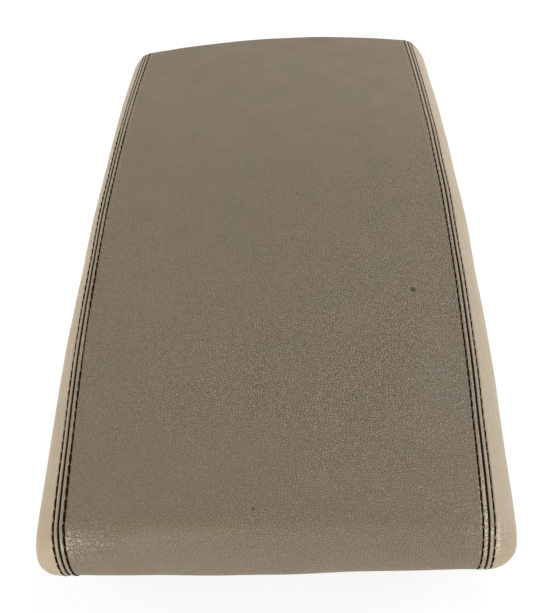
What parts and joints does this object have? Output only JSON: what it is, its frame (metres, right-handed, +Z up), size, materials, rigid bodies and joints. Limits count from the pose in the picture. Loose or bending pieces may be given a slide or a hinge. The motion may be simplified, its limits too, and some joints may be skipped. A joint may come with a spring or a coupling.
{
  "type": "car centre armrest",
  "caption": "Leather covered armrest lid for a car's centre console, with two sewn seams, a foam pad, a rear hinge and a lift latch under its front edge.",
  "frame": {"origin": "centre of the footprint, on the deck that the closed lid rests on", "axes": "+X to the right, +Y from the hinged rear edge to the latched front edge, +Z up"},
  "size_m": [0.1884, 0.332, 0.0542],
  "materials": {
    "cover_top": "fine pebbled grain, satin, worn",
    "cover_side": "fine pebbled grain, satin",
    "thread": "twisted sewing thread",
    "tape": "woven tape",
    "foam": "moulded foam with a matt skin",
    "core": "moulded, glass filled",
    "liner": "fine moulded grain",
    "latch": "fine moulded grain",
    "bush": "natural nylon",
    "bracket": "black coated pressed steel",
    "steel": "bright zinc plated",
    "spring": "spring wire, oiled",
    "rubber": "matt black"
  },
  "bodies": {
    "console_bracket": {"hinge_base_bracket": "bracket", "hinge_pin": "steel", "pin_clip": "spring", "torsion_spring": "spring"},
    "lid": {"leather_top_panel": "cover_top", "leather_side_left": "cover_side", "leather_side_right": "cover_side", "stitching_left": "thread", "stitching_right": "thread", "seam_tape_left": "tape", "seam_tape_right": "tape", "foam_pad": "foam", "lid_core": "core", "inner_liner": "liner", "hinge_leaf": "bracket", "hinge_bush_left": "bush", "hinge_bush_right": "bush", "leaf_screws": "steel", "liner_screws": "steel", "latch_housing": "liner", "latch_pin": "steel", "latch_spring": "spring", "latch_screws": "steel", "bumper_rear_left": "rubber", "bumper_rear_right": "rubber", "bumper_front_left": "rubber", "bumper_front_right": "rubber"},
    "latch": {"latch_lever": "latch"}
  },
  "joints": [
    {"name": "lid_hinge", "type": "hinge", "parent": "console_bracket", "child": "lid", "pos_m": [0, -0.1525, 0.0145], "axis": [1, 0, 0], "range_deg": [0, 90], "deforming": ["torsion_spring"]},
    {"name": "latch_pivot", "type": "hinge", "parent": "lid", "child": "latch", "pos_m": [0, 0.14, 0.0096], "axis": [1, 0, 0], "range_deg": [0, 15], "stiffness_Nm_per_rad": 0.01, "springref_deg": -17.19, "deforming": ["latch_spring"]}
  ]
}
